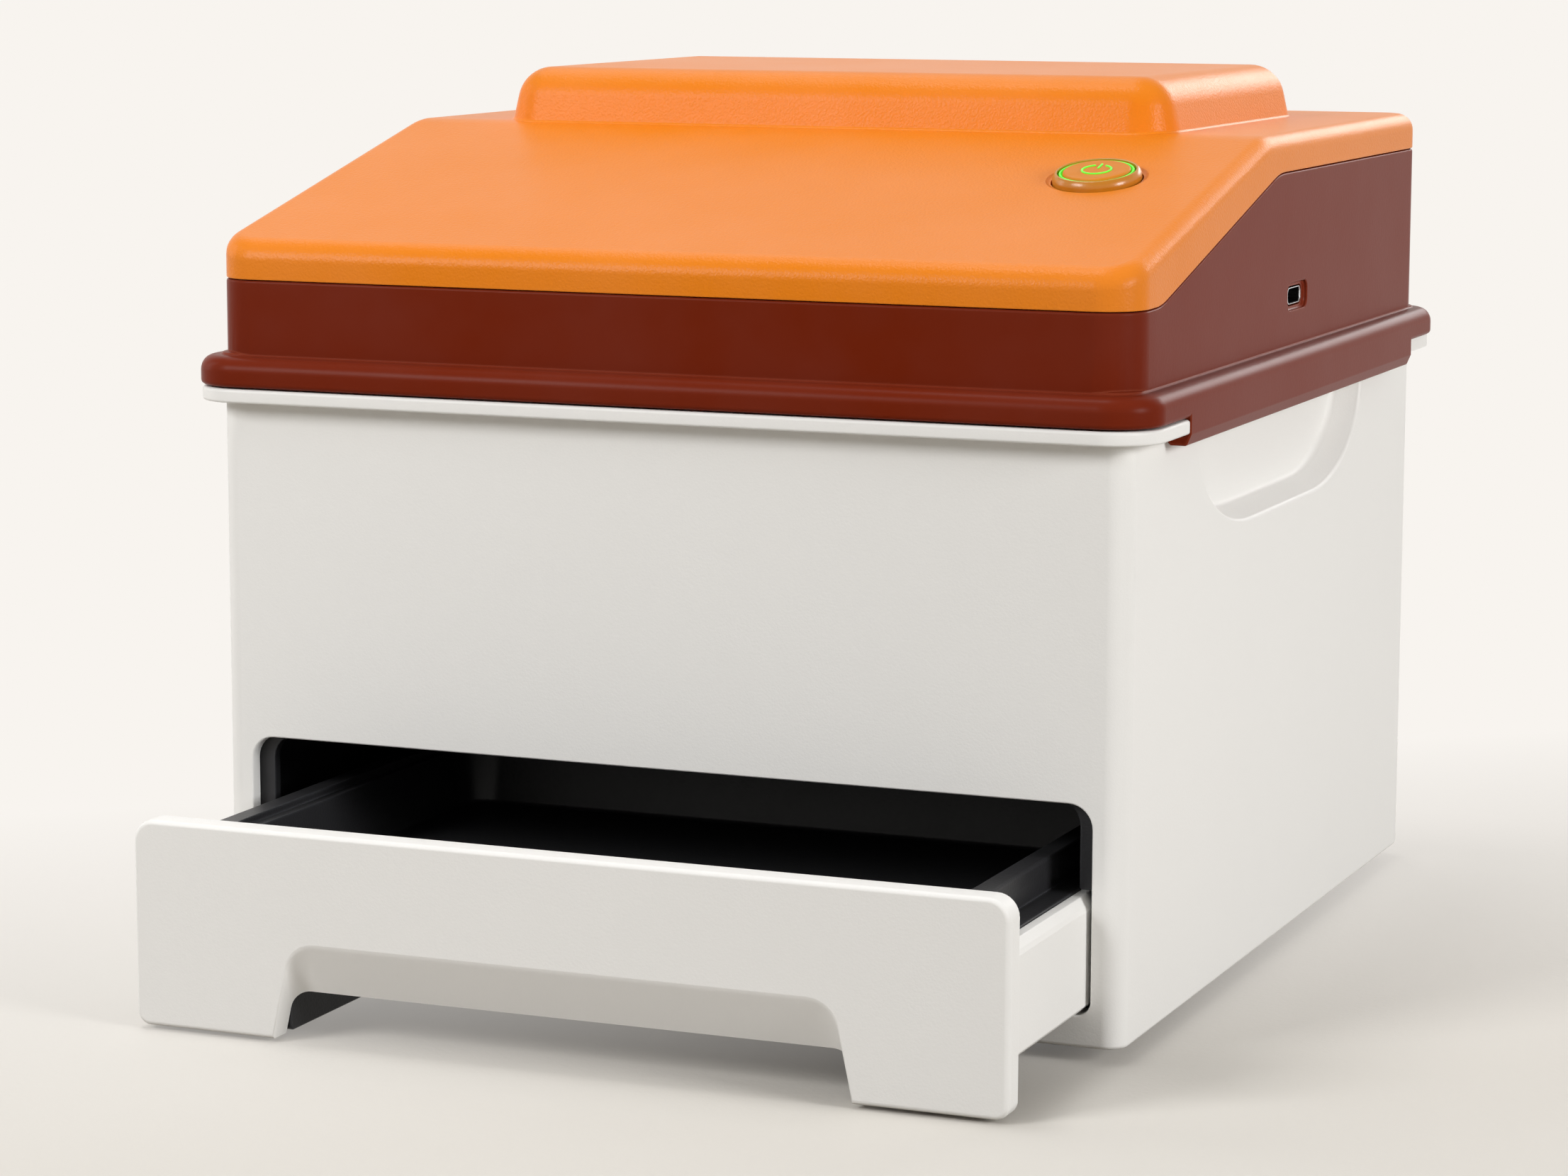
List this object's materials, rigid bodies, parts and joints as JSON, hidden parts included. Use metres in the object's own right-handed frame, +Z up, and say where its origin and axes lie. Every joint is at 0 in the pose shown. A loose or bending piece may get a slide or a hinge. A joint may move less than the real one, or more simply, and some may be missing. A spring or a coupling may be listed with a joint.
{
  "type": "grain testing box",
  "caption": "Bench grain tester: white bin with a pull-out sample drawer under a slide-on sloped head with camera and ultraviolet lamps",
  "frame": {"origin": "centre of the bin's flat underside; the foot pads reach 2.8 mm below it", "axes": "+X to the right seen from the drawer's side, +Y to the back, +Z up"},
  "size_m": [0.1882, 0.2395, 0.1692],
  "materials": {
    "white_plastic": "satin moulded plastic",
    "orange_plastic": "fine leather grain",
    "maroon_plastic": "semi gloss",
    "black_plastic": "satin",
    "black_rubber": "matte",
    "steel": "plain",
    "aluminium": "satin",
    "amber_metal": "amber anodised",
    "amber_plastic": "satin",
    "green_light": "lit from behind",
    "clear_glass": "polished",
    "violet_glass": "polished filter",
    "circuit_board": "solder mask",
    "blue_wrap": "shrink wrap",
    "grey_cable": "matte"
  },
  "bodies": {
    "bin": {"bin_shell": "white_plastic", "grip_cup_left": "white_plastic", "grip_cup_right": "white_plastic", "foot_pad_front_left": "black_rubber", "foot_pad_rear_left": "black_rubber", "foot_pad_front_right": "black_rubber", "foot_pad_rear_right": "black_rubber", "opening_trim": "black_plastic", "chamber_liner": "black_plastic", "light_hood": "black_plastic", "light_seal": "black_rubber", "drawer_guide_left": "black_plastic", "drawer_guide_right": "black_plastic", "drawer_stop": "black_rubber"},
    "drawer": {"drawer_front": "white_plastic", "drawer_carrier": "white_plastic", "front_screw_left": "steel", "front_screw_right": "steel", "drawer_skid_left": "black_plastic", "drawer_skid_right": "black_plastic"},
    "tray": {"sample_tray": "black_plastic"},
    "head": {"head_base": "maroon_plastic", "head_cover": "orange_plastic", "cover_screw_front_left": "steel", "cover_screw_rear_left": "steel", "cover_screw_front_right": "steel", "cover_screw_rear_right": "steel", "button_bezel": "amber_metal", "button_nut": "aluminium", "button_light_ring": "green_light", "switch_body": "black_plastic", "usb_shell": "steel", "usb_tongue": "black_plastic", "usb_board": "circuit_board", "optics_window": "clear_glass", "optics_frame": "black_plastic", "lamp_filter_front": "violet_glass", "lamp_filter_rear": "violet_glass", "lamp_bar_front": "aluminium", "lamp_bar_rear": "aluminium", "lens_barrel": "black_plastic", "lens_glass": "clear_glass", "camera_housing": "aluminium", "sensor_board": "circuit_board", "main_board": "circuit_board", "board_screw_left": "steel", "board_screw_right": "steel", "processor": "black_plastic", "heat_sink": "aluminium", "battery_pack": "blue_wrap", "battery_strap": "aluminium", "switch_cable": "grey_cable", "lamp_cable_front": "grey_cable", "lamp_cable_rear": "grey_cable", "battery_cable": "grey_cable", "usb_cable": "grey_cable", "camera_ribbon": "grey_cable"},
    "power_button": {"button_cap": "amber_plastic", "button_icon_ring": "green_light", "button_icon_bar": "green_light"}
  },
  "joints": [
    {"name": "drawer_slide", "type": "slide", "parent": "bin", "child": "drawer", "axis": [0, -1, 0], "range_m": [-0.0377, 0.072]},
    {"name": "tray_lift", "type": "slide", "parent": "drawer", "child": "tray", "axis": [0, 0, 1], "range_m": [0, 0.008]},
    {"name": "head_slide", "type": "slide", "parent": "bin", "child": "head", "axis": [0, 1, 0], "range_m": [0, 0.17]},
    {"name": "power_press", "type": "slide", "parent": "head", "child": "power_button", "axis": [0, 0.2341, -0.9722], "range_m": [0, 0.0012], "stiffness_N_per_m": 800, "springref_m": -0.0005}
  ]
}
